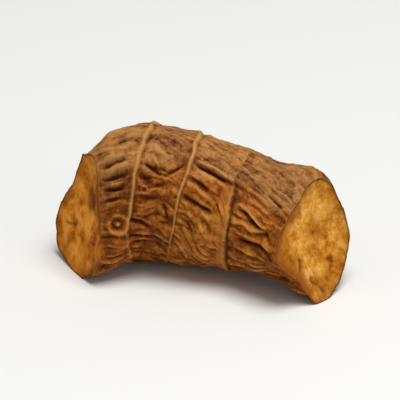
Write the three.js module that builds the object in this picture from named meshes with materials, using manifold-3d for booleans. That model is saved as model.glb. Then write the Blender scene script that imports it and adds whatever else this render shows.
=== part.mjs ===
// A short cut length of dried galangal root, one solid, lying on its two ends.
// Millimetres, +Z up. X runs along the root from its left cut to its right cut,
// the ends curve forward towards -Y, and the underside rests on Z = 0.
import * as THREE from 'three';
import { mergeVertices } from 'three/addons/utils/BufferGeometryUtils.js';
import Module from 'manifold-3d';

// Driving dimensions, in millimetres and degrees.
const LENGTH = 30; // between the centres of the two cut ends
const BOW = 6.4; // how far the middle of the centre line lies behind its ends
const ARCH = 2.2; // how far the middle of the centre line lies above its ends
const STUB = 4; // straight stretch of centre line at each end

// Cross-sections. at: place as a share of the half length. radii: the radius in eight
// directions in equal steps, from the back of the root over its top to its front.
const SECTIONS = [
  { at: -1, radii: [5.9, 4.6, 6.8, 4.3, 5.7, 8.1, 7.7, 8.0] },
  { at: -0.6, radii: [8.0, 8.4, 9.8, 7.6, 6.7, 7.5, 8.8, 9.1] },
  { at: -0.25, radii: [8.8, 8.3, 8.8, 8.2, 8.0, 9.0, 9.9, 10.4] },
  { at: 0.1, radii: [7.9, 7.1, 7.1, 7.3, 8.2, 9.3, 9.0, 9.4] },
  { at: 0.45, radii: [7.9, 6.9, 6.3, 6.2, 7.3, 8.8, 8.8, 8.8] },
  { at: 0.75, radii: [8.2, 8.3, 5.4, 4.2, 6.2, 7.5, 7.6, 8.1] },
  { at: 1, radii: [7.8, 5.8, 3.9, 4.6, 6.5, 5.6, 7.6, 7.5] },
];

// Cut planes through the two ends of the centre line. yaw turns the cut's outward
// normal to the back of the root, and pitch turns it up.
const LEFT_CUT = { end: -1, yaw: -42, pitch: 9 };
const RIGHT_CUT = { end: 1, yaw: -28, pitch: 18 };

// Leaf-scar rings round the root. places: the ring's x in the same eight directions.
// worn: angle in the middle of the stretch where the ring has worn away. span: half of
// that stretch. left: share of the ring's height that is left there.
const RINGS = [
  { places: [-12.2, -12, -14, -17, -19, -18, -16, -13.8], worn: 180, span: 40, left: 0.5 },
  { places: [-6.4, -5, -6, -9.2, -11.2, -11.7, -10.6, -8.6], worn: 240, span: 62, left: 0.3 },
  { places: [-3.2, -1.7, -0.8, -1.2, -3.6, -5.8, -6, -4.7], worn: 262, span: 62, left: 0.3 },
  { places: [2.5, 3.8, 5, 6.1, 7.5, 7.3, 5.2, 3.2], worn: 75, span: 62, left: 0 },
  { places: [9.5, 10, 12, 14.5, 17, 17, 13.5, 10.8], worn: 150, span: 85, left: 0 },
];
const RING_HEIGHT = 0.35;
const RING_WIDTH = 0.9;
const WEARING = 12; // degrees over which a ring fades towards its worn stretch

const RESTING_DEPTH = 0.3; // how deep the flats under the root are

const AROUND = 56; // facets round the root
const ALONG = 44; // facets along the root
const OVERRUN = 7; // how far the uncut root runs on past each cut
const KNIFE = 80; // size of the blocks that cut the ends and the underside

const HALF = LENGTH / 2;
const DIRECTIONS = 8;
const STATIONS = SECTIONS.map((section) => section.at * HALF);

// A smooth curve from start to finish, with its slopes there, at t from 0 to 1.
function curve(start, finish, leave, arrive, t) {
  const rise = t * t * (3 - 2 * t);
  const bulge = t * (1 - t) * (1 - t) * leave + t * t * (t - 1) * arrive;
  return start + (finish - start) * rise + bulge;
}

// Value at an angle of a smooth closed curve through eight values round the root.
function around(values, angle) {
  const turn = (angle / (2 * Math.PI)) * DIRECTIONS;
  const first = Math.floor(turn);
  const value = (step) => values[THREE.MathUtils.euclideanModulo(first + step, DIRECTIONS)];
  const leave = (value(1) - value(-1)) / 2;
  const arrive = (value(2) - value(0)) / 2;
  return curve(value(0), value(1), leave, arrive, turn - first);
}

// The eight radii at x: smooth curves through all the sections.
function radiiAt(x) {
  const last = STATIONS.length - 1;
  const at = THREE.MathUtils.clamp(x, STATIONS[0], STATIONS[last]);
  let i = 0;
  while (i < last - 1 && at > STATIONS[i + 1]) i += 1;
  const span = STATIONS[i + 1] - STATIONS[i];
  const slope = (k, direction) => {
    const a = Math.max(k - 1, 0);
    const b = Math.min(k + 1, last);
    const rise = SECTIONS[b].radii[direction] - SECTIONS[a].radii[direction];
    return (rise / (STATIONS[b] - STATIONS[a])) * span;
  };
  return SECTIONS[i].radii.map((start, direction) => {
    const finish = SECTIONS[i + 1].radii[direction];
    const t = (at - STATIONS[i]) / span;
    return curve(start, finish, slope(i, direction), slope(i + 1, direction), t);
  });
}

// Height of a parabola over x, running on straight past the curved stretch.
function bend(x, rise) {
  const curved = HALF - STUB;
  const inside = Math.min(Math.abs(x), curved);
  const past = Math.max(Math.abs(x) - curved, 0);
  return rise * (1 - (inside / HALF) ** 2) - (2 * rise * curved * past) / HALF ** 2;
}

function centreLine(x) {
  return new THREE.Vector3(x, bend(x, BOW), bend(x, ARCH));
}

// Extra radius of the leaf-scar rings at x and at an angle round the root.
function ringSwell(x, angle) {
  const degrees = THREE.MathUtils.radToDeg(angle);
  let swell = 0;
  for (const { places, worn, span, left } of RINGS) {
    const away = Math.abs(THREE.MathUtils.euclideanModulo(degrees - worn + 180, 360) - 180);
    const wear = THREE.MathUtils.smoothstep(away, span - WEARING, span + WEARING);
    const distance = x - around(places, angle);
    const height = RING_HEIGHT * (left + (1 - left) * wear);
    swell += height * Math.exp(-((distance / RING_WIDTH) ** 2));
  }
  return swell;
}

// Point of the root at x and at an angle that runs from its back (0) over its top
// (90 degrees), at a share of the full radius.
function rootPoint(x, angle, share) {
  const centre = centreLine(x);
  const step = 0.05;
  const tangent = centreLine(x + step).sub(centreLine(x - step)).normalize();
  const back = new THREE.Vector3(-tangent.y, tangent.x, 0).normalize();
  const up = new THREE.Vector3().crossVectors(tangent, back);
  const radius = around(radiiAt(x), angle) + ringSwell(x, angle);
  return centre
    .addScaledVector(back, share * radius * Math.cos(angle))
    .addScaledVector(up, share * radius * Math.sin(angle));
}

// The root before it is cut: a cylinder whose every point is moved onto the root.
function uncutRoot() {
  const geometry = new THREE.CylinderGeometry(1, 1, 1, AROUND, ALONG);
  const position = geometry.getAttribute('position');
  for (let i = 0; i < position.count; i += 1) {
    const x = position.getY(i) * (LENGTH + 2 * OVERRUN);
    const angle = Math.atan2(position.getX(i), position.getZ(i));
    const share = Math.hypot(position.getX(i), position.getZ(i));
    const point = rootPoint(x, angle, share);
    position.setXYZ(i, point.x, point.y, point.z);
  }
  return geometry;
}

// A block whose one face lies on a cut plane, on the side that is cut away.
function knife({ end, yaw, pitch }) {
  const turn = THREE.MathUtils.degToRad(yaw);
  const tip = THREE.MathUtils.degToRad(pitch);
  const across = Math.cos(tip);
  const normal = new THREE.Vector3(
    end * Math.cos(turn) * across,
    Math.sin(turn) * across,
    Math.sin(tip),
  );
  const block = new THREE.BoxGeometry(KNIFE, KNIFE, KNIFE);
  block.translate(KNIFE / 2, 0, 0);
  const facing = new THREE.Quaternion().setFromUnitVectors(new THREE.Vector3(1, 0, 0), normal);
  block.applyQuaternion(facing);
  const centre = centreLine(end * HALF);
  block.translate(centre.x, centre.y, centre.z);
  return block;
}

const wasm = await Module();
wasm.setup();

function toSolid(geometry) {
  const plain = geometry.clone();
  plain.deleteAttribute('normal');
  plain.deleteAttribute('uv');
  const merged = mergeVertices(plain, 1e-4);
  const vertProperties = new Float32Array(merged.getAttribute('position').array);
  const triVerts = new Uint32Array(merged.getIndex().array);
  return new wasm.Manifold(new wasm.Mesh({ numProp: 3, vertProperties, triVerts }));
}

function toGeometry(solid) {
  const mesh = solid.getMesh();
  const geometry = new THREE.BufferGeometry();
  geometry.setAttribute('position', new THREE.BufferAttribute(mesh.vertProperties, 3));
  geometry.setIndex(new THREE.BufferAttribute(mesh.triVerts, 1));
  return geometry;
}

// The root with both ends cut and the underside worn flat where it rests, moved so
// that the middle of its base is the origin.
function galangalRoot() {
  let solid = toSolid(uncutRoot());
  for (const cut of [LEFT_CUT, RIGHT_CUT]) {
    solid = solid.subtract(toSolid(knife(cut)));
  }
  const lowest = solid.boundingBox().min[2];
  const table = new THREE.BoxGeometry(KNIFE, KNIFE, KNIFE);
  table.translate(0, 0, lowest + RESTING_DEPTH - KNIFE / 2);
  const geometry = toGeometry(solid.subtract(toSolid(table)));
  geometry.computeBoundingBox();
  const { min, max } = geometry.boundingBox;
  geometry.translate(-(min.x + max.x) / 2, -(min.y + max.y) / 2, -min.z);
  geometry.computeVertexNormals();
  return geometry;
}

const driedRoot = new THREE.MeshStandardMaterial({
  color: 0x9a6532,
  roughness: 0.75,
  metalness: 0,
});

const root = new THREE.Mesh(galangalRoot(), driedRoot);
root.name = 'galangal_root';

const part = new THREE.Group();
part.add(root);

export default part;
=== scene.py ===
"""A short cut length of dried galangal root, lying on a pale floor."""
import itertools
import math

import bmesh
import bpy
import numpy as np
from bpy.props import FloatProperty, FloatVectorProperty, PointerProperty
from mathutils import Euler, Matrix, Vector


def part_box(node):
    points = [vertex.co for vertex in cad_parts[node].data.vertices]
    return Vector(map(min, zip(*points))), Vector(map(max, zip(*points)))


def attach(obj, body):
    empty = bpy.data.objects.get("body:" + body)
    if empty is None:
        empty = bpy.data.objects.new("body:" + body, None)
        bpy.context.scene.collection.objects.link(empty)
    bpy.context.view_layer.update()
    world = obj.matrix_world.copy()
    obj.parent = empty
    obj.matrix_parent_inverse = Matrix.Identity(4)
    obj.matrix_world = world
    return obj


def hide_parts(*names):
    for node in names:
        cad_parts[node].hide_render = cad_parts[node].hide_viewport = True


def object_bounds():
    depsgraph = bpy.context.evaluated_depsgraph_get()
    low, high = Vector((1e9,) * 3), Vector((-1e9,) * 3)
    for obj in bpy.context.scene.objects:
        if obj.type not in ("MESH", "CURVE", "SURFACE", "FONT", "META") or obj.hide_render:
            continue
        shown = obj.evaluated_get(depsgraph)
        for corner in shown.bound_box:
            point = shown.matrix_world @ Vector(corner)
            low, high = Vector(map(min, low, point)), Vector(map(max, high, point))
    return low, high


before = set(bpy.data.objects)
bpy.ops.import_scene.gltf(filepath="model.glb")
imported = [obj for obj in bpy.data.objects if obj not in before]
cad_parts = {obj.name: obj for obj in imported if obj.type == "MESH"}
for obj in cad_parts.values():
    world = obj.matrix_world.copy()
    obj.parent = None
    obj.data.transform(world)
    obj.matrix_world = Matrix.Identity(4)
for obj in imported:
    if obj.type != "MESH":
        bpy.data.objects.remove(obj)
CAD_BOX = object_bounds()

bl_info = {
    "name": "Dried galangal root",
    "version": (1, 0, 0),
    "blender": (4, 5, 0),
    "location": "3D View > Sidebar > Galangal",
    "description": "Builds one dried, cut length of galangal root and its stage",
    "category": "Object",
}

NODE = "galangal_root"
MM = 0.001
LEFT, RIGHT = -1, 1  # the two cut ends

# The root's form, in millimetres and degrees, as the frame's solid has it. X runs along
# the root. Angles run round it from its back over its top: 90 is the top, 180 the front.
LENGTH = 30.0  # between the centres of the two cut ends
BOW = 6.4  # how far the middle of the centre line lies behind its ends
ARCH = 2.2  # how far the middle of the centre line lies above its ends
STUB = 4.0  # straight stretch of centre line at each end
HALF = LENGTH / 2
DIRECTIONS = 8
STATIONS = np.array([-1, -0.6, -0.25, 0.1, 0.45, 0.75, 1]) * HALF  # x of the cross-sections
RADII = np.array([  # radius of each cross-section in eight directions, from the back
    (5.9, 4.6, 6.8, 4.3, 5.7, 8.1, 7.7, 8.0),
    (8.0, 8.4, 9.8, 7.6, 6.7, 7.5, 8.8, 9.1),
    (8.8, 8.3, 8.8, 8.2, 8.0, 9.0, 9.9, 10.4),
    (7.9, 7.1, 7.1, 7.3, 8.2, 9.3, 9.0, 9.4),
    (7.9, 6.9, 6.3, 6.2, 7.3, 8.8, 8.8, 8.8),
    (8.2, 8.3, 5.4, 4.2, 6.2, 7.5, 7.6, 8.1),
    (7.8, 5.8, 3.9, 4.6, 6.5, 5.6, 7.6, 7.5),
])
CUTS = {LEFT: (-42.0, 9.0), RIGHT: (-28.0, 18.0)}  # yaw and pitch of each end's cut
RESTING_DEPTH = 0.3  # how deep the flats under the root are
OVERRUN = 7.0  # how far past its end the uncut root is known
REACH = 8.0  # typical radius, which turns an angle into a distance round the root
SHRINKAGE = 0.15  # how far the skin has sunk below the plain form

# Leaf-scar rings: x in the eight directions, then the angle in the middle of the stretch
# where the ring has worn away, half of that stretch, and the share that is left there.
RINGS = (
    ((-12.2, -12.0, -14.0, -17.0, -19.0, -18.0, -16.0, -13.8), 180, 40, 0.5),
    ((-6.4, -5.0, -6.0, -9.2, -11.2, -11.7, -10.6, -8.6), 240, 62, 0.3),
    ((-3.2, -1.7, -0.8, -1.2, -3.6, -5.8, -6.0, -4.7), 270, 62, 0.3),
    ((2.5, 3.8, 5.0, 6.1, 7.5, 7.3, 5.2, 3.2), 75, 62, 0.0),
    ((9.5, 10.0, 12.0, 14.5, 17.0, 17.0, 13.5, 10.8), 150, 104, 0.0),
)
WEARING = 12  # degrees over which a ring fades towards its worn stretch
WANDER = 0.25  # how far a ring wanders to either side
# How far each ring is a pale band with a step down to its right, in place of a ridge.
BANDS = np.array([0.0, 0.1, 0.15, 1.0, 0.3])[:, None]
BAND_EDGES = (-1.9, -1.3)  # where a band begins to the left of its ring, and is full
STEP_START = 0.15  # how far to the right of a ring its step down begins
STEP_DEPTH, STEP_WIDTH = 0.25, 0.5  # of the step, which then rises back to the skin
SWELL_HEIGHT, SWELL_WIDTH = 0.15, 1.3  # of the gentle swelling that a ring stands on
# Beside a ring, how much of the wrinkles is gone, and over what distance.
RING_CALM, RING_CALM_WIDTH = 0.7, 0.7
# At a cut, how much of the wrinkles is left, and over what distance they come back.
CUT_CALM, CUT_CALM_WIDTH = 0.4, 1.4

# The skin between rings, from left to right: how far its wrinkles turn round the root
# along it, in radians per millimetre, how deep they are as a share of the usual, and how
# much lighter it is.
INTERNODES = np.array([
    (0.02, 0.9, 0.0),
    (0.03, 0.95, 0.0),
    (0.045, 0.85, 0.0),
    (0.065, 0.75, 0.17),
    (0.01, 0.75, 0.04),
    (0.02, 0.7, 0.0),
])
INTERNODE_SEED = 13.7  # moves the noise, so that each internode has wrinkles of its own

# Patterns of the skin, in millimetres along the root and across it.
SWELLS = (5.5, 1.7)
CREASES = (4.2, 1.3)
FINE_WRINKLES = (1.7, 0.62)
TOP_FLATTENING = 0.6  # how much shallower the wrinkles are on the root's worn top
TURN_SWAY = 0.09  # radians that the wrinkles wander round the root
FOLD_SWAY = (0.35, 0.035)  # how far the single folds wander along it, and round it
PEBBLE_HEIGHT = 0.08

# Single folds of skin: from x, angle to x, angle, then height and half width. A ridge
# stands up, and a crease has a negative height.
FOLDS = (
    ((-0.4, 121), (4.6, 130), 0.35, 0.4),
    ((-0.4, 126), (6.4, 137), -0.85, 0.42),
    ((-1.0, 139), (2.8, 152), -0.4, 0.32),
    ((-0.2, 146), (4.6, 166), 0.3, 0.34),
    ((-1.8, 158), (4.6, 175), -0.6, 0.38),
    ((2.4, 180), (5.4, 187), -0.35, 0.45),
    ((7.2, 149), (12.4, 164), 0.4, 0.3),
    ((7.6, 155), (12.2, 169), -0.5, 0.34),
    ((9.8, 117), (12.2, 120), -0.5, 0.28),
    ((-12.6, 109), (-9.4, 117), -0.4, 0.3),
    ((-12.6, 114), (-9.4, 123), 0.25, 0.26),
    ((-12.6, 119), (-9.7, 128), -0.5, 0.32),
    ((-12.8, 126), (-10.2, 134), 0.25, 0.3),
    ((-12.8, 131), (-10.5, 139), -0.5, 0.34),
    ((-13.2, 145), (-11.2, 149), -0.35, 0.32),
    ((-1.6, 127), (-5.0, 140), -0.45, 0.3),
    ((-7.6, 123), (-5.2, 137), -0.45, 0.3),
    ((-6.5, 119), (-5.2, 131), 0.25, 0.3),
    ((-8.4, 131), (-6.6, 146), -0.45, 0.5),
    ((-10.8, 175), (-8.2, 193), -0.55, 0.38),
    ((-5.5, 165), (-4.8, 184), -0.35, 0.35),
    ((-13.0, 197), (-6.2, 208), -0.35, 0.35),
    ((11.4, 175), (13.6, 167), -0.4, 0.5),
    ((8.8, 182), (15.0, 178), 0.3, 0.3),
    ((9.0, 190), (15.0, 184), -0.55, 0.34),
    ((9.2, 196), (15.6, 196), 0.28, 0.32),
    ((9.2, 203), (15.8, 210), -0.5, 0.36),
    ((9.0, 211), (16.0, 218), 0.28, 0.34),
    ((8.6, 218), (16.0, 226), -0.5, 0.4),
)

# Root scars: x, angle, and the radius of the rim.
SCARS = (
    (-12.3, 179, 1.25),
    (-8.2, 147, 0.4),
    (8.5, 283, 1.1),
    (-9.5, 262, 0.9),
    (12.5, 318, 0.8),
    (-9.0, 332, 1.0),
    (0.5, 348, 0.75),
)
# Height and half width of a scar's raised rim, of its pit and of the stump in the pit, as
# shares of the scar's radius.
SCAR_RIM = (0.22, 0.28)
SCAR_PIT = (0.36, 0.64)
SCAR_STUMP = (0.42, 0.3)

# Lighter and darker patches of skin: x, angle, radius, and how much lighter the patch is.
TINTS = (
    (0.3, 128, 2.2, -0.17),
    (7.2, 124, 2.0, -0.2),
    (2.4, 108, 2.5, -0.1),
    (0.5, 170, 1.6, -0.12),
    (-5.5, 172, 1.9, 0.17),
    (10.0, 146, 2.1, 0.18),
    (8.3, 160, 1.6, 0.12),
    (6.0, 172, 1.5, 0.09),
    (-0.5, 222, 2.6, -0.15),
    (13.4, 208, 2.2, -0.12),
)

# Stained parts of the cuts: end, angle towards the stain, the share of the radius at
# which it starts, and how dark it is.
STAINS = (
    (RIGHT, 205, 0.35, 0.9),
    (RIGHT, 120, 0.6, 0.7),
    (LEFT, 155, 0.5, 1.1),
    (LEFT, 230, 0.75, 0.6),
)
# Single patches of the flesh: end, angle, share of the radius, size as a share of it, and
# how starchy and pale the patch is. A brown and shrivelled one is below 0.
PATCHES = (
    (RIGHT, 125, 0.42, 0.24, 0.3),
    (RIGHT, 345, 0.15, 0.28, -0.55),
    (RIGHT, 25, 0.38, 0.16, -0.4),
    (RIGHT, 275, 0.86, 0.15, -0.5),
    (LEFT, 98, 0.86, 0.2, 0.4),
    (LEFT, 108, 0.45, 0.24, -1.6),
    (LEFT, 295, 0.48, 0.18, 0.2),
)
# Splits and one sunken bruise in the flesh: end, from angle and share to angle and share,
# then half width as a share of the radius, and how deep it is as a share of the usual.
SPLITS = (
    (RIGHT, (262, 0.6), (280, 0.82), 0.045, 1.0),
    (RIGHT, (222, 0.5), (234, 0.68), 0.045, 1.0),
    (LEFT, (318, 0.45), (330, 0.7), 0.045, 1.0),
    (LEFT, (98, 0.4), (130, 0.55), 0.1, 0.85),
)
DISH = 0.2  # how much deeper still the middle of a cut lies
FLESH_LUMPS = ((0.15, 2.2, 4.4), (0.07, 1.0, 0.0), (0.04, 0.45, 0.0))  # height, size, seed

# Smooth noise: a slope for each point of a unit grid, found by hashing the point.
SLOPES = np.random.default_rng(5).normal(size=(512, 3))
SLOPES /= np.linalg.norm(SLOPES, axis=1, keepdims=True)
HASH = np.array([73856093, 19349663, 83492791])  # large primes that mix a point's indices
NOISE_GAIN = 1.6  # brings the noise to about -1 to 1

AROUND = 300  # vertices round the root
ALONG = 240  # rows of faces along the skin
ACROSS = 36  # rows of faces from the rim of a cut to its middle
ON_SKIN = 0.9999  # share of the radius past which a vertex belongs to the skin
# Rounds of smoothing of the two copies that the surface's height is read from.
SMOOTHING_ROUNDS = {"rise": 8, "broad_rise": 60}

# The studio, in metres: each light's place from the root's middle, and its width.
KEY_LIGHT = ((0.12, -0.08, 0.55), 0.35)
SIDE_LIGHT = ((0.5, -0.3, 0.25), 0.3)
ROOM_LIGHT = 0.28  # strength of the white light from all round
FLOOR_SIZE = 2.0  # from its middle to its edge


def srgb(code):
    """A #rrggbb colour as the linear red, green, blue and alpha that Blender wants."""
    parts = [int(code[i:i + 2], 16) / 255 for i in (1, 3, 5)]
    linear = [p / 12.92 if p <= 0.04045 else ((p + 0.055) / 1.055) ** 2.4 for p in parts]
    return (*linear, 1.0)


class GalangalSkin(bpy.types.PropertyGroup):
    """Sizes and colours of the dried skin."""
    wrinkle_depth: FloatProperty(
        name="Wrinkle depth", description="Depth of the skin's long wrinkles",
        default=0.42 * MM, unit="LENGTH")
    lump_height: FloatProperty(
        name="Lump height", description="Height of the shrunken skin's low lumps",
        default=0.35 * MM, unit="LENGTH")
    ring_height: FloatProperty(
        name="Ring height", description="Height of the leaf-scar rings",
        default=0.26 * MM, unit="LENGTH")
    ring_width: FloatProperty(
        name="Ring width", description="Width of a ring's raised edge",
        default=0.46 * MM, unit="LENGTH")
    # Painted shade: the colour at the bottom of the deepest creases.
    crease_shade_colour: FloatVectorProperty(
        name="Crease colour", description="Colour at the bottom of the deepest creases",
        subtype="COLOR", size=4, default=srgb("#3c1805"))
    skin_colour: FloatVectorProperty(
        name="Skin colour", description="Main colour of the skin",
        subtype="COLOR", size=4, default=srgb("#7c410b"))
    # Painted light: the colour along the crests of the wrinkles.
    ridge_light_colour: FloatVectorProperty(
        name="Ridge colour", description="Colour along the crests of the wrinkles",
        subtype="COLOR", size=4, default=srgb("#c2853f"))
    # Partly rubbed wear, partly painted light from above: the colour of the top's ridges.
    worn_and_lit_colour: FloatVectorProperty(
        name="Worn colour", description="Colour of the dull, rubbed skin on the root's top",
        subtype="COLOR", size=4, default=srgb("#b48650"))
    ring_colour: FloatVectorProperty(
        name="Ring colour", description="Colour of the leaf-scar rings",
        subtype="COLOR", size=4, default=srgb("#c99250"))


class GalangalFlesh(bpy.types.PropertyGroup):
    """Sizes and colours of the two cut faces."""
    sunken: FloatProperty(
        name="Sunken", description="How far the dried flesh has shrunk in behind its rim",
        default=0.45 * MM, unit="LENGTH")
    split_depth: FloatProperty(
        name="Split depth", description="Depth of the splits that open as the flesh dries",
        default=0.25 * MM, unit="LENGTH")
    flesh_colour: FloatVectorProperty(
        name="Flesh colour", description="Main colour of the dried flesh",
        subtype="COLOR", size=4, default=srgb("#cd8a2a"))
    starch_colour: FloatVectorProperty(
        name="Starch colour", description="Colour of the palest, most starchy patches",
        subtype="COLOR", size=4, default=srgb("#f4be66"))
    stain_colour: FloatVectorProperty(
        name="Stain colour", description="Colour of the outer band and of the stained parts",
        subtype="COLOR", size=4, default=srgb("#8c4606"))
    rim_colour: FloatVectorProperty(
        name="Rim colour", description="Colour of the skin's thin edge round a cut",
        subtype="COLOR", size=4, default=srgb("#54290c"))


class GalangalStage(bpy.types.PropertyGroup):
    """The camera and the studio."""
    azimuth: FloatProperty(
        name="Azimuth", description="Turn of the camera about the root from its front",
        subtype="ANGLE", default=math.radians(14.7))
    elevation: FloatProperty(
        name="Elevation", description="Height of the camera above the horizon",
        subtype="ANGLE", default=math.radians(24.8))
    distance: FloatProperty(
        name="Distance", description="Distance of the camera from the root's middle",
        default=0.45, unit="LENGTH")
    fill: FloatProperty(
        name="Fill", description="Share of the picture's width that the root's length takes",
        default=0.76, subtype="FACTOR", min=0.1, max=1.0)
    key_power: FloatProperty(
        name="Key light", description="Power of the large soft light above", default=3.05,
        unit="POWER")
    side_power: FloatProperty(
        name="Side light", description="Power of the weaker light on the right", default=0.35,
        unit="POWER")
    floor_colour: FloatVectorProperty(
        name="Floor colour", description="Colour of the floor",
        subtype="COLOR", size=4, default=srgb("#f0f0ed"))


def curve(start, finish, leave, arrive, t):
    """A smooth curve from start to finish, with its slopes there, at t from 0 to 1."""
    rise = t * t * (3 - 2 * t)
    bulge = t * (1 - t) ** 2 * leave + t * t * (t - 1) * arrive
    return start + (finish - start) * rise + bulge


def smooth_step(low, high, value):
    t = np.clip((value - low) / (high - low), 0, 1)
    return t * t * (3 - 2 * t)


def hill(distance, half_width):
    """A smooth hill: 1 at no distance, about a third at its half width, then 0."""
    return np.exp(-((distance / half_width) ** 2))


def direction(degrees):
    """The unit vector at an angle round a cross-section."""
    return np.array([math.cos(math.radians(degrees)), math.sin(math.radians(degrees))])


def from_segment(points, start, finish):
    """How far along a straight segment each point lies, from 0 to 1, and how far from it."""
    run = finish - start
    share = np.clip((points - start) @ run / (run @ run), 0, 1)
    return share, np.linalg.norm(points - start - share[:, None] * run, axis=-1)


def noise(points, size=1.0, seed=0.0):
    """Smooth noise, about -1 to 1, at each point. Its grain is size millimetres wide, and
    each seed gives a noise of its own."""
    points = points / size + seed
    cell = np.floor(points).astype(np.int64)
    part = points - cell
    fade = part**3 * (10 + part * (6 * part - 15))
    total = np.zeros(len(points))
    for corner in itertools.product((0, 1), repeat=3):
        spot = (cell + corner) @ HASH
        slope = SLOPES[(spot ^ (spot >> 9)) % len(SLOPES)]
        weight = np.prod(np.where(corner, fade, 1 - fade), axis=-1)
        total += weight * np.sum(slope * (part - corner), axis=-1)
    return total * NOISE_GAIN


def around(values, angle):
    """A smooth closed curve through eight values round the root, at each angle."""
    turn = angle / (2 * math.pi) * DIRECTIONS
    first = np.floor(turn).astype(int)
    values = np.broadcast_to(values, (len(angle), DIRECTIONS))
    before, start, finish, after = (
        values[np.arange(len(angle)), (first + step) % DIRECTIONS] for step in (-1, 0, 1, 2))
    return curve(start, finish, (finish - before) / 2, (after - start) / 2, turn - first)


def radii_at(x):
    """The eight radii at each x: smooth curves through all the cross-sections."""
    last = len(STATIONS) - 1
    x = np.clip(x, STATIONS[0], STATIONS[-1])
    i = np.clip(np.searchsorted(STATIONS, x, side="right") - 1, 0, last - 1)
    span = STATIONS[i + 1] - STATIONS[i]

    def slope(k):
        a, b = np.maximum(k - 1, 0), np.minimum(k + 1, last)
        return (RADII[b] - RADII[a]) * (span / (STATIONS[b] - STATIONS[a]))[:, None]

    t = ((x - STATIONS[i]) / span)[:, None]
    return curve(RADII[i], RADII[i + 1], slope(i), slope(i + 1), t)


def bend(x, rise):
    """Height of a parabola over x, running on straight past the curved stretch."""
    curved = HALF - STUB
    inside = np.minimum(abs(x), curved)
    past = np.maximum(abs(x) - curved, 0)
    return rise * (1 - (inside / HALF) ** 2) - 2 * rise * curved * past / HALF**2


def centre_line(x):
    return np.stack([x, bend(x, BOW), bend(x, ARCH)], axis=-1)


def plain_root(x, angle):
    """Points of the plain root at x and an angle round it, and their outward spokes."""
    nudge = 0.05  # half the stretch that the tangent is taken over
    tangent = centre_line(x + nudge) - centre_line(x - nudge)
    tangent /= np.linalg.norm(tangent, axis=-1, keepdims=True)
    back = np.stack([-tangent[:, 1], tangent[:, 0], 0 * x], axis=-1)
    back /= np.linalg.norm(back, axis=-1, keepdims=True)
    up = np.cross(tangent, back)
    spoke = np.cos(angle)[:, None] * back + np.sin(angle)[:, None] * up
    return centre_line(x) + around(radii_at(x), angle)[:, None] * spoke, spoke


def from_spot(place, x, degrees):
    """How far each point lies from the plain root's point at x and an angle."""
    spot = plain_root(np.array([x]), np.array([math.radians(degrees)]))[0]
    return np.linalg.norm(place - spot, axis=-1)


def cut_plane(end):
    """A point on an end's cut plane and the plane's outward normal."""
    yaw, pitch = (math.radians(a) for a in CUTS[end])
    outward = end * math.cos(yaw) * math.cos(pitch)
    normal = (outward, math.sin(yaw) * math.cos(pitch), math.sin(pitch))
    return centre_line(np.array([end * HALF]))[0], np.array(normal)


def ring_distances(x, angle, place):
    """How far each point lies to the right of each ring, and how strong the ring is."""
    distances, strengths = [], []
    for number, (places, worn, span, left) in enumerate(RINGS):
        wander = WANDER * noise(place, 2.4, seed=7.3 * number)
        distances.append(x - around(places, angle) + wander)
        away = abs((np.degrees(angle) - worn + 180) % 360 - 180)
        wear = smooth_step(span - WEARING, span + WEARING, away)
        strengths.append(left + (1 - left) * wear)
    return np.array(distances), np.array(strengths)


def wrinkle_relief(x, across, seeds, sway, place, pale):
    """Height of the long wrinkles, as a share of their depth."""

    def pattern(size, along, offset=0.0):
        drawn_out = np.column_stack([along / size[0], across / size[1]])
        return noise(drawn_out + seeds + offset)

    swells = pattern(SWELLS, x + sway)
    # A crease runs wherever its noise is near 0, with level skin between the creases.
    creases = np.minimum(abs(pattern(CREASES, x + sway, 5.1)) * 2.2, 1) - 0.7
    fine = pattern(FINE_WRINKLES, x, 9.4)
    # The creases fade out in about a third of the skin.
    wrinkled = smooth_step(-0.35, 0.35, noise(place, 3.0, seed=71.3) + 0.25)
    return 0.9 * swells + (0.15 + 0.85 * wrinkled) * creases + (0.3 - pale) * fine


def fold_relief(x, angle):
    """Height of the single ridges and creases."""
    height = np.zeros(len(x))
    place = np.stack([x, angle * REACH], axis=-1)
    for *ends, rise, width in FOLDS:
        start, finish = (np.array([x, math.radians(turn) * REACH]) for x, turn in ends)
        share, away = from_segment(place, start, finish)
        taper = 1.15 * (1 - abs(2 * share - 1) ** 2.5)
        height += rise * taper * hill(away, width)
    return height


def scar_relief(place):
    """Height of the root scars, and how much each point lies in a scar, from 0 to 1."""
    height, within = np.zeros(len(place)), np.zeros(len(place))
    for x, angle, radius in SCARS:
        away = from_spot(place, x, angle) / radius
        rim = SCAR_RIM[0] * hill(away - 1, SCAR_RIM[1])
        pit = SCAR_PIT[0] * np.exp(-((away / SCAR_PIT[1]) ** 4))  # flat, with steep sides
        stump = SCAR_STUMP[0] * hill(away, SCAR_STUMP[1])
        height += radius * (rim - pit + stump)
        within = np.maximum(within, 1 - smooth_step(1.0, 1.6, away))
    return height, within


def ring_relief(distances, strengths, place, skin):
    """Height of the rings and of the steps beside them, and the marks ring and band."""
    ridge = hill(distances, skin.ring_width / MM / 2)
    ring = (strengths * (1 - 0.8 * BANDS) * ridge).max(axis=0)
    ring = np.clip(ring * (1.0 + 0.6 * noise(place, 1.3, seed=55.5)), 0, 1.2)
    past = distances - STEP_START
    below = np.where(past > 0, np.exp(-past.clip(0) / STEP_WIDTH), 0)
    step = (strengths * (1 + 1.2 * BANDS) * below).max(axis=0)
    swell = (strengths * hill(distances, SWELL_WIDTH)).sum(axis=0)
    height = SWELL_HEIGHT * swell + skin.ring_height / MM * ring
    height -= STEP_DEPTH * step * (1 - ring.clip(0, 1))
    left_side = smooth_step(*BAND_EDGES, distances) * (distances < 0)
    band = (strengths * BANDS * left_side).max(axis=0)
    return height, ring, band


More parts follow.
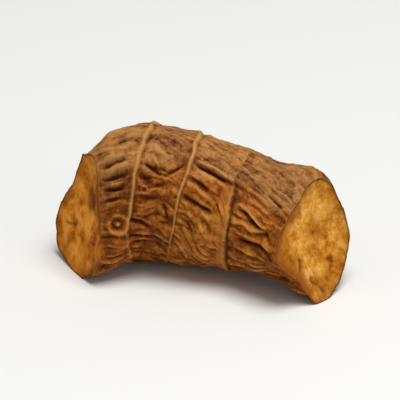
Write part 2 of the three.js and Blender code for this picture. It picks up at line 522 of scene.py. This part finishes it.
def calmness(distances, strengths, place):
    """How free the skin is to wrinkle: less beside a ring and towards a cut."""
    beside = (strengths * hill(distances, RING_CALM_WIDTH)).max(axis=0)
    calm = 1 - RING_CALM * beside
    for end in CUTS:
        point, normal = cut_plane(end)
        inward = smooth_step(0.0, CUT_CALM_WIDTH, (point - place) @ normal)
        calm = calm * (CUT_CALM + (1 - CUT_CALM) * inward)
    return calm


def skin_point(x, angle, skin):
    """Points of the finished skin at x and an angle round the root, and their marks: how
    far each is ring, pale band and lighter skin, and its place in the grain."""
    place, spoke = plain_root(x, angle)
    angle = angle % (2 * math.pi)
    sway, sway_back = noise(place, 3.4), noise(place, 3.4, seed=31.7)
    distances, strengths = ring_distances(x, angle, place)
    internode = np.sum(distances > 0, axis=0)
    twist, strength, pale = INTERNODES[internode].T
    turned = angle - twist * x + TURN_SWAY * sway
    across = np.stack([np.cos(turned), np.sin(turned)], axis=-1) * REACH
    seeds = (internode * INTERNODE_SEED)[:, None]
    scars, within_scar = scar_relief(place)
    calm = calmness(distances, strengths, place) * (1 - within_scar)
    top = smooth_step(0.1, 0.95, np.sin(angle))
    depth = skin.wrinkle_depth / MM * strength * (1 - TOP_FLATTENING * top) * calm
    lumps = noise(place, 4.2, seed=3.3) + 0.6 * noise(place, 2.0, seed=8.8)
    pebbles = noise(place, 1.1, seed=17.7) + 0.5 * noise(place, 0.55, seed=7.7)
    rings, ring, band = ring_relief(distances, strengths, place, skin)
    height = depth * wrinkle_relief(x, across, seeds, sway_back, place, pale)
    height += skin.lump_height / MM * lumps + PEBBLE_HEIGHT * calm * pebbles - SHRINKAGE
    along, turn = FOLD_SWAY
    folds = fold_relief(x + along * sway_back, angle + turn * sway)
    height += calm * folds + scars + rings
    height = height * (1 - 0.25 * band) + 0.05 * band  # a band is smoother and plumper
    for tint_x, tint_angle, radius, lift in TINTS:
        pale = pale + lift * hill(from_spot(place, tint_x, tint_angle), radius)
    grain = np.column_stack([x, across]) + seeds
    return place + height[:, None] * spoke, (ring, band, pale), grain


def rim_places(end, angle, surface):
    """The x at which a surface of the root meets an end's cut plane, for each angle."""
    point, normal = cut_plane(end)
    inner = np.zeros(len(angle))
    outer = np.full(len(angle), end * (HALF + OVERRUN))
    for _ in range(20):
        middle = (inner + outer) / 2
        inside = (surface(middle, angle) - point) @ normal < 0
        inner = np.where(inside, middle, inner)
        outer = np.where(inside, outer, middle)
    return inner


def billet():
    """A turned billet of radius 1 from x -1 to 1: the faces that become the root."""
    shares = [math.sin(0.5 * math.pi * i / ACROSS) for i in range(ACROSS)]
    profile = [(-1, share) for share in shares]
    profile += [(2 * i / ALONG - 1, 1) for i in range(ALONG + 1)]
    profile += [(1, share) for share in reversed(shares)]
    rows = len(profile) - 1
    bm = bmesh.new()
    bmesh.ops.create_grid(bm, x_segments=rows, y_segments=AROUND, size=1)
    for vertex in bm.verts:
        x, radius = profile[round((vertex.co.x + 1) / 2 * rows)]
        angle = (vertex.co.y + 1) * math.pi
        vertex.co = (x, radius * math.cos(angle), radius * math.sin(angle))
    bmesh.ops.remove_doubles(bm, verts=bm.verts, dist=1e-5)
    bmesh.ops.recalc_face_normals(bm, faces=bm.faces)
    return bm


def shape_root(bm, skin, flesh):
    """Moves the billet's vertices onto the root. Gives what the materials need of each."""
    start = np.array([v.co for v in bm.verts])
    axial, share = start[:, 0], np.hypot(start[:, 1], start[:, 2])
    angle = np.arctan2(start[:, 2], start[:, 1]) % (2 * math.pi)
    spoke = np.round(angle / (2 * math.pi) * AROUND).astype(int) % AROUND
    spokes = np.arange(AROUND) * 2 * math.pi / AROUND
    rims = {end: rim_places(end, spokes, lambda x, a: skin_point(x, a, skin)[0])
            for end in CUTS}
    x = rims[LEFT][spoke] + (rims[RIGHT][spoke] - rims[LEFT][spoke]) * (axial + 1) / 2
    side = share > ON_SKIN
    place, grain = np.zeros((2, len(x), 3))
    ring, band, pale, split = np.zeros((4, len(x)))
    place[side], (ring[side], band[side], pale[side]), grain[side] = skin_point(
        x[side], angle[side], skin)
    section = share[:, None] * np.column_stack([np.cos(angle), np.sin(angle)])
    for end in CUTS:
        face = ~side & (axial * end > 0)
        edge = skin_point(rims[end], spokes, skin)[0]
        middle = edge.mean(axis=0)
        flat = middle + share[face, None] * (edge[spoke[face]] - middle)
        split[face] = split_depth(end, section[face] + 0.03 * noise(flat, 0.9)[:, None])
        relief = cut_relief(flat, share[face], flesh) - flesh.split_depth / MM * split[face]
        place[face] = flat + relief[:, None] * cut_plane(end)[1]
    stain, starch = flesh_patches(axial, section, place)
    # The root's top, whose ridges are rubbed paler and also carry painted light from above.
    worn = smooth_step(0.55, 0.92, np.sin(angle) + 0.22 * noise(place, 2.6, seed=41.0))
    deep = smooth_step(0, 0.1, -axial) * (share < ON_SKIN)  # the left cut's deeper orange
    marks = {"share": share, "ring": ring, "band": band, "worn": worn, "pale": pale,
             "stain": stain, "starch": starch, "split": split, "deep": deep}
    return place, marks, grain


def flesh_patches(axial, section, place):
    """How stained and how starchy each point of the cuts is."""
    stain, starch = np.zeros((2, len(place)))
    for end, lead, start, depth in STAINS:
        ragged = section @ direction(lead) + 0.12 * noise(place, 1.3)
        stain += depth * (axial * end > 0) * smooth_step(start, start + 0.25, ragged)
    ragged = section + 0.04 * noise(place, 1.1)[:, None]
    for end, lead, out, size, lift in PATCHES:
        away = np.linalg.norm(ragged - out * direction(lead), axis=1)
        patch = lift * (axial * end > 0) * hill(away, size)
        starch += patch.clip(0)
        stain -= patch.clip(max=0)
    return stain, starch


def split_depth(end, section):
    """How deep each point of a cut lies in a split of the flesh, from 0 to 1."""
    depth = np.zeros(len(section))
    for split_end, *ends, width, strength in SPLITS:
        if split_end == end:
            start, finish = (share * direction(lead) for lead, share in ends)
            away = from_segment(section, start, finish)[1]
            depth = np.maximum(depth, strength * hill(away, width))
    return depth


def cut_relief(place, share, flesh):
    """How far the dried flesh of a cut stands out: it has shrunk in from its rim."""
    sink = -flesh.sunken / MM * (1 - share**6) - DISH * (1 - share**2)
    rough = sum(height * noise(place, size, seed) for height, size, seed in FLESH_LUMPS)
    return sink + rough * np.minimum(1, (1 - share) * 12)  # the rim itself stays smooth


def plain_box():
    """The lowest and highest corners of the plain form, before it is moved into place."""
    spokes = np.arange(AROUND) * 2 * math.pi / AROUND
    left, right = (rim_places(end, spokes, lambda x, a: plain_root(x, a)[0]) for end in CUTS)
    shares = np.linspace(0, 1, 60)
    rows = [left + (right - left) * share for share in shares]
    points = plain_root(np.concatenate(rows), np.tile(spokes, len(shares)))[0]
    return points.min(axis=0), points.max(axis=0)


def galangal_mesh(skin, flesh):
    """The root as a bmesh, in metres, where the frame's solid lies, and its marks."""
    bm = billet()
    place, marks, grain = shape_root(bm, skin, flesh)
    low, high = plain_box()
    cad_low, cad_high = (np.array(c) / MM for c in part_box(NODE))
    place[:, :2] += ((cad_low + cad_high) / 2 - (low + high) / 2)[:2]
    place[:, 2] -= low[2] + RESTING_DEPTH
    place[:, 2] = np.maximum(place[:, 2], cad_low[2])
    for vertex, co in zip(bm.verts, place * MM):
        vertex.co = co
    bm.normal_update()
    for name, rounds in SMOOTHING_ROUNDS.items():
        marks[name] = heights(bm, rounds)
    for face in bm.faces:
        face.smooth = True
        cut = any(marks["share"][vertex.index] < ON_SKIN for vertex in face.verts)
        face.material_index = int(cut)
    return bm, marks, grain


def heights(bm, rounds):
    """How far each vertex stands above its smoothed surroundings, in millimetres."""
    soft = bm.copy()
    for _ in range(rounds):
        bmesh.ops.smooth_vert(soft, verts=soft.verts, factor=0.5,
                              use_axis_x=True, use_axis_y=True, use_axis_z=True)
    rise = [(v.co - w.co).dot(v.normal) / MM for v, w in zip(bm.verts, soft.verts)]
    soft.free()
    return np.array(rise)


def add(tree, kind, inputs=(), stops=(), **settings):
    """Adds a node. Each input is a plain value or another node's output."""
    node = tree.nodes.new("ShaderNode" + kind)
    for name, value in settings.items():
        setattr(node, name, value)
    for name, value in dict(inputs).items():
        if isinstance(value, bpy.types.NodeSocket):
            tree.links.new(value, node.inputs[name])
        else:
            node.inputs[name].default_value = value
    for number, (place, colour) in enumerate(stops):
        ramp = node.color_ramp.elements
        stop = ramp[number] if number < 2 else ramp.new(place)
        stop.position = place
        stop.color = colour
    return node


def new_material(name):
    material = bpy.data.materials.new(name)
    material.use_nodes = True
    material.node_tree.nodes.clear()
    return material, material.node_tree


def add_textures(tree, level, textures):
    """Adds textures to a level. Each is a socket, and how much its swing moves the level."""
    for texture, share in textures:
        centred = add(tree, "Math", {0: texture, 1: 0.5}, operation="SUBTRACT").outputs[0]
        level = add(tree, "Math", {0: centred, 1: share, 2: level},
                    operation="MULTIPLY_ADD").outputs[0]
    return level


def finish_material(tree, colour, roughness, bump):
    """Dry plant matter: dull, with hardly any sheen."""
    shader = add(tree, "BsdfPrincipled", {
        "Base Color": colour, "Roughness": roughness, "Normal": bump,
        "IOR": 1.45, "Specular IOR Level": 0.12})
    add(tree, "OutputMaterial", {"Surface": shader.outputs["BSDF"]})


# Input and output numbers of a Mix node that blends colours.
FACTOR, FIRST, SECOND, MIXED = 0, 6, 7, 2


def dried_rhizome_skin(skin):
    """Cork-like dried skin: dull brown, with painted shade that darkens it to red-brown in
    the creases, painted light that brightens it to pale tan on the ridges, and pale tan
    leaf-scar rings."""
    material, tree = new_material("dried rhizome skin")
    place = add(tree, "TexCoord").outputs["Object"]
    grain = add(tree, "Attribute", attribute_name="grain").outputs["Vector"]
    mark = {name: add(tree, "Attribute", attribute_name=name).outputs["Fac"]
            for name in ("rise", "broad_rise", "ring", "band", "worn", "pale")}

    # Weathered patches are 4 mm wide and blotches 0.9 mm. The flecks of the corky surface
    # are about 0.1 mm wide, and drawn at 0.3 mm to show. Streaks about 1 mm wide follow
    # the wrinkles, and are five times as long.
    patches = add(tree, "TexNoise", {"Vector": place, "Scale": 1 / (4 * MM), "Detail": 3})
    mottle = add(tree, "TexNoise", {
        "Vector": place, "Scale": 1 / (0.9 * MM), "Detail": 4, "Distortion": 0.6})
    flecks = add(tree, "TexNoise", {"Vector": place, "Scale": 1 / (0.3 * MM), "Detail": 3})
    drawn_out = add(tree, "Mapping", {"Vector": grain, "Scale": (0.22, 1.1, 1.1)})
    streaks = add(tree, "TexNoise", {
        "Vector": drawn_out.outputs["Vector"], "Scale": 1.0, "Detail": 3})

    # The level carries painted shade and light: dark in the creases and light on the ridges.
    # Flat skin has the middle colour, and a ridge 0.2 mm high has nearly the lightest.
    fine = add(tree, "Math", {0: mark["rise"], 1: 2.3, 2: 0.47}, operation="MULTIPLY_ADD")
    shade_and_light_level = add(tree, "Math", {0: mark["broad_rise"], 1: 0.8, 2: fine.outputs[0]},
                operation="MULTIPLY_ADD")
    lifted = add(tree, "Math", {0: shade_and_light_level.outputs[0], 1: mark["pale"]}, operation="ADD")
    level = add_textures(tree, lifted.outputs[0], (
        (mottle.outputs["Fac"], 0.7), (flecks.outputs["Fac"], 0.5),
        (streaks.outputs["Fac"], 1.0), (patches.outputs["Fac"], 0.4)))
    colour = add(tree, "ValToRGB", {"Fac": level}, stops=(
        (0.02, skin.crease_shade_colour), (0.28, srgb("#582905")), (0.5, skin.skin_colour),
        (0.72, srgb("#a8631c")), (0.98, skin.ridge_light_colour)))

    # Ruddy patches, then the ridges of the top, rubbed paler and also given painted light
    # from above, then the pale bands and the rings.
    ruddy = add(tree, "MapRange", {
        "Value": patches.outputs["Fac"], "From Min": 0.5, "From Max": 0.7, "To Max": 0.5})
    warm = add(tree, "Mix", {
        FACTOR: ruddy.outputs[0], FIRST: colour.outputs["Color"], SECOND: srgb("#c0683a")},
        data_type="RGBA", blend_type="MULTIPLY")
    ridges = add(tree, "MapRange", {"Value": level, "From Min": 0.22, "From Max": 0.75})
    rubbed_and_lit = add(tree, "Math", {0: mark["worn"], 1: ridges.outputs[0]}, operation="MULTIPLY")
    blend = warm
    for share, amount, covering in (
        (rubbed_and_lit.outputs[0], 0.6, skin.worn_and_lit_colour),
        (mark["band"], 0.42, srgb("#b0692a")),
        (mark["ring"], 0.85, skin.ring_colour),
    ):
        factor = add(tree, "Math", {0: share, 1: amount}, operation="MULTIPLY")
        blend = add(tree, "Mix", {
            FACTOR: factor.outputs[0], FIRST: blend.outputs[MIXED], SECOND: covering},
            data_type="RGBA")

    height = add(tree, "Math", {0: flecks.outputs["Fac"], 1: 0.5, 2: streaks.outputs["Fac"]},
                 operation="MULTIPLY_ADD")
    bump = add(tree, "Bump", {
        "Height": height.outputs[0], "Strength": 0.6, "Distance": 0.12 * MM})
    rough = add(tree, "MapRange", {"Value": level, "To Min": 0.8, "To Max": 0.55})
    finish_material(tree, blend.outputs[MIXED], rough.outputs[0], bump.outputs[0])
    return material


def cut_rhizome_flesh(flesh):
    """Dried starchy flesh: golden and matt, with paler and darker fibre bundles, an
    orange-brown outer band, a thin brown edge of skin, and painted shade in its hollows and
    splits."""
    material, tree = new_material("cut rhizome flesh")
    place = add(tree, "TexCoord").outputs["Object"]
    mark = {name: add(tree, "Attribute", attribute_name=name).outputs["Fac"]
            for name in ("rise", "share", "stain", "starch", "split", "deep")}

    # Starchy and dry patches are 3.2 mm wide and blotches 1.4 mm. Torn fibres and the
    # bundles that the cut crosses are about half as wide as they are drawn, to show.
    patches = add(tree, "TexNoise", {
        "Vector": place, "Scale": 1 / (3.2 * MM), "Detail": 2, "Distortion": 0.5})
    mottle = add(tree, "TexNoise", {"Vector": place, "Scale": 1 / (1.4 * MM), "Detail": 3})
    fibres = add(tree, "TexNoise", {"Vector": place, "Scale": 1 / (0.35 * MM), "Detail": 2})
    bundles = add(tree, "TexVoronoi", {"Vector": place, "Scale": 1 / (0.7 * MM)})

    # The level is darkened by painted shade in the hollows, and is light on the starchy
    # patches.
    raised = add(tree, "Math", {0: mark["rise"], 1: 1.6, 2: 0.62}, operation="MULTIPLY_ADD")
    lifted = add(tree, "Math", {0: raised.outputs[0], 1: mark["starch"]}, operation="ADD")
    patchy = add(tree, "MapRange", {"Value": mark["deep"], "To Min": 1.3, "To Max": 2.1})
    level = add_textures(tree, lifted.outputs[0], (
        (patches.outputs["Fac"], patchy.outputs[0]), (mottle.outputs["Fac"], 1.1),
        (fibres.outputs["Fac"], 0.3), (bundles.outputs["Distance"], 0.15)))
    colour = add(tree, "ValToRGB", {"Fac": level}, stops=(
        (0.1, srgb("#6e3804")), (0.35, srgb("#a8640f")), (0.6, flesh.flesh_colour),
        (1.0, flesh.starch_colour)))

    # The left cut's deeper orange, then the outer band with the stains, painted shade in the
    # splits and in the sunken bruise, and the thin edge of skin.
    warm = add(tree, "MapRange", {"Value": mark["deep"], "To Max": 0.75})
    blend = add(tree, "Mix", {
        FACTOR: warm.outputs[0], FIRST: colour.outputs["Color"], SECOND: srgb("#ffd04c")},
        data_type="RGBA", blend_type="MULTIPLY")
    band = add(tree, "MapRange", {
        "Value": mark["share"], "From Min": 0.6, "From Max": 0.9, "To Max": 0.4})
    stained = add(tree, "Math", {0: mark["stain"], 1: 0.6, 2: band.outputs[0]},
                  operation="MULTIPLY_ADD")
    split_shade = add(tree, "Math", {0: mark["split"], 1: 0.6}, operation="MULTIPLY")
    edge = add(tree, "MapRange", {
        "Value": mark["share"], "From Min": 0.945, "From Max": 0.99, "To Max": 0.85})
    for factor, covering in (
        (stained, flesh.stain_colour), (split_shade, srgb("#5c3208")), (edge, flesh.rim_colour),
    ):
        blend = add(tree, "Mix", {
            FACTOR: factor.outputs[0], FIRST: blend.outputs[MIXED], SECOND: covering},
            data_type="RGBA")

    bump = add(tree, "Bump", {
        "Height": fibres.outputs["Fac"], "Strength": 0.5, "Distance": 0.12 * MM})
    finish_material(tree, blend.outputs[MIXED], 0.8, bump.outputs[0])
    return material


class GALANGAL_OT_root(bpy.types.Operator):
    """Build the dried, cut root with its skin and its two cut faces"""
    bl_idname = "galangal.root"
    bl_label = "Dried root"

    def execute(self, context):
        skin, flesh = context.scene.galangal_skin, context.scene.galangal_flesh
        bm, marks, grain = galangal_mesh(skin, flesh)
        mesh = bpy.data.meshes.new("dried_galangal_root")
        bm.to_mesh(mesh)
        bm.free()
        for name, values in marks.items():
            mesh.attributes.new(name, "FLOAT", "POINT").data.foreach_set("value", values)
        grains = mesh.attributes.new("grain", "FLOAT_VECTOR", "POINT").data
        grains.foreach_set("vector", grain.ravel())
        mesh.materials.append(dried_rhizome_skin(skin))
        mesh.materials.append(cut_rhizome_flesh(flesh))
        root = bpy.data.objects.new("dried_galangal_root", mesh)
        context.scene.collection.objects.link(root)
        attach(root, "root")
        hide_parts(NODE)
        return {"FINISHED"}


class GALANGAL_OT_stage(bpy.types.Operator):
    """Lay the pale floor and set the lights and the camera"""
    bl_idname = "galangal.stage"
    bl_label = "Stage"

    def execute(self, context):
        stage = context.scene.galangal_stage
        low, high = (Vector(c) for c in CAD_BOX)
        middle = (low + high) / 2
        context.scene.view_settings.view_transform = "Standard"
        build_floor(context, stage)
        build_lights(context, stage, middle)
        build_camera(context, stage, middle, high - low)
        return {"FINISHED"}


def build_floor(context, stage):
    bm = bmesh.new()
    bmesh.ops.create_grid(bm, x_segments=1, y_segments=1, size=FLOOR_SIZE)
    mesh = bpy.data.meshes.new("floor")
    bm.to_mesh(mesh)
    bm.free()
    material, tree = new_material("pale floor")
    shader = add(tree, "BsdfPrincipled", {
        "Base Color": stage.floor_colour, "Roughness": 0.6})
    add(tree, "OutputMaterial", {"Surface": shader.outputs["BSDF"]})
    mesh.materials.append(material)
    floor = bpy.data.objects.new("floor", mesh)
    context.scene.collection.objects.link(floor)


def build_lights(context, stage, middle):
    world = bpy.data.worlds.new("studio")
    world.use_nodes = True
    room = world.node_tree.nodes["Background"]
    room.inputs["Color"].default_value = (1, 1, 1, 1)
    room.inputs["Strength"].default_value = ROOM_LIGHT
    context.scene.world = world
    for name, offset, size, power in (
        ("key", *KEY_LIGHT, stage.key_power),
        ("side", *SIDE_LIGHT, stage.side_power),
    ):
        light = bpy.data.lights.new(name, "AREA")
        light.size = size
        light.energy = power
        lamp = bpy.data.objects.new(name, light)
        lamp.location = middle + Vector(offset)
        lamp.rotation_euler = (-Vector(offset)).to_track_quat("-Z", "Y").to_euler()
        context.scene.collection.objects.link(lamp)


def build_camera(context, stage, middle, size):
    camera = bpy.data.cameras.new("camera")
    camera.sensor_width = 36
    camera.lens = camera.sensor_width * stage.distance * stage.fill / size.x
    camera.clip_end = 10
    holder = bpy.data.objects.new("camera", camera)
    turn = Euler((math.pi / 2 - stage.elevation, 0, stage.azimuth))
    holder.rotation_euler = turn
    holder.location = middle + turn.to_matrix() @ Vector((0, 0, stage.distance))
    context.scene.collection.objects.link(holder)
    context.scene.camera = holder


class GALANGAL_PT_panel(bpy.types.Panel):
    """Lists the root and the stage, each with its settings"""
    bl_idname = "GALANGAL_PT_panel"
    bl_label = "Galangal root"
    bl_space_type = "VIEW_3D"
    bl_region_type = "UI"
    bl_category = "Galangal"

    def draw(self, context):
        layout, scene = self.layout, context.scene
        for operator, groups in (
            (GALANGAL_OT_root, (scene.galangal_skin, scene.galangal_flesh)),
            (GALANGAL_OT_stage, (scene.galangal_stage,)),
        ):
            layout.operator(operator.bl_idname)
            for group in groups:
                for name in group.__annotations__:
                    layout.prop(group, name)


CLASSES = (GalangalSkin, GalangalFlesh, GalangalStage, GALANGAL_OT_root, GALANGAL_OT_stage,
           GALANGAL_PT_panel)


def register():
    for cls in CLASSES:
        bpy.utils.register_class(cls)
    bpy.types.Scene.galangal_skin = PointerProperty(type=GalangalSkin)
    bpy.types.Scene.galangal_flesh = PointerProperty(type=GalangalFlesh)
    bpy.types.Scene.galangal_stage = PointerProperty(type=GalangalStage)


def unregister():
    del bpy.types.Scene.galangal_stage
    del bpy.types.Scene.galangal_flesh
    del bpy.types.Scene.galangal_skin
    for cls in reversed(CLASSES):
        bpy.utils.unregister_class(cls)


def main():
    register()
    bpy.ops.galangal.root()
    bpy.ops.galangal.stage()


if __name__ == "__main__":
    main()
